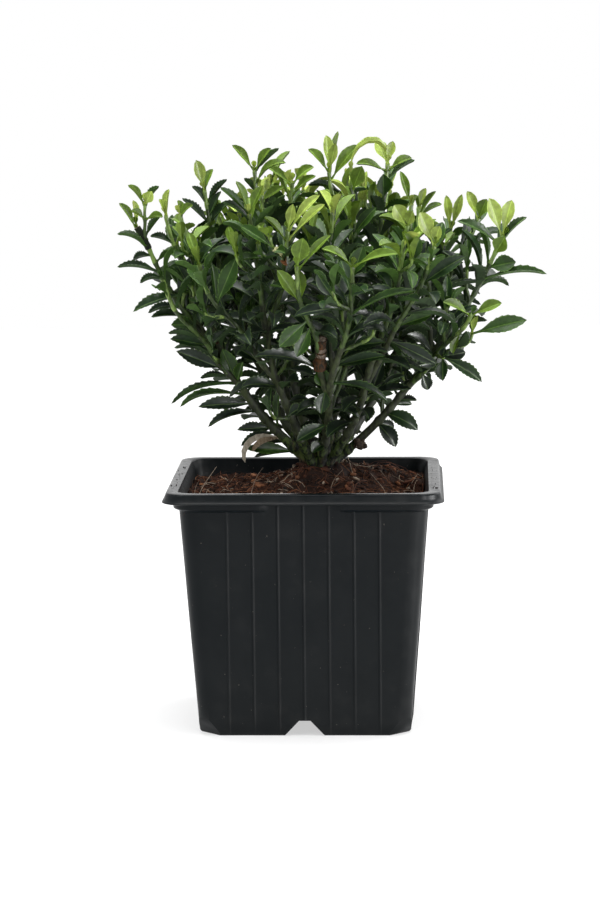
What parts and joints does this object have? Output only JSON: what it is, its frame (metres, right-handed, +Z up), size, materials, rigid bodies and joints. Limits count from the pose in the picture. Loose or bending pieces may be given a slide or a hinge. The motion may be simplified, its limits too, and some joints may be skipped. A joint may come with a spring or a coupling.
{
  "type": "potted japanese spindle shrub",
  "caption": "Small bushy evergreen shrub with narrow glossy leaves and pale young tips, growing in a square black plastic nursery pot.",
  "frame": {"origin": "middle of the flat underside of the pot", "axes": "+Z up along the pot's height, +X to the right and +Y away from the viewer, each square to a side of the pot"},
  "size_m": [0.1403, 0.1189, 0.1916],
  "materials": {
    "pot": "semi-matt black moulded plastic",
    "soil": "moist red-brown bark and coir",
    "bark": "grey-green young bark",
    "leaves": "glossy evergreen leaves, lime at the tips"
  },
  "bodies": {
    "root": {"pot": "pot", "soil": "soil", "trunk": "bark", "bough_left": "bark", "bough_left_back": "bark", "bough_back_left": "bark", "bough_back": "bark", "bough_back_right": "bark", "bough_right_back": "bark", "bough_right": "bark", "bough_front_right": "bark", "bough_front": "bark", "bough_front_left": "bark", "bough_middle_left": "bark", "bough_middle_right": "bark", "foliage_left": "leaves", "foliage_left_back": "leaves", "foliage_back_left": "leaves", "foliage_back": "leaves", "foliage_back_right": "leaves", "foliage_right_back": "leaves", "foliage_right": "leaves", "foliage_front_right": "leaves", "foliage_front": "leaves", "foliage_front_left": "leaves", "foliage_middle_left": "leaves", "foliage_middle_right": "leaves"}
  },
  "joints": []
}
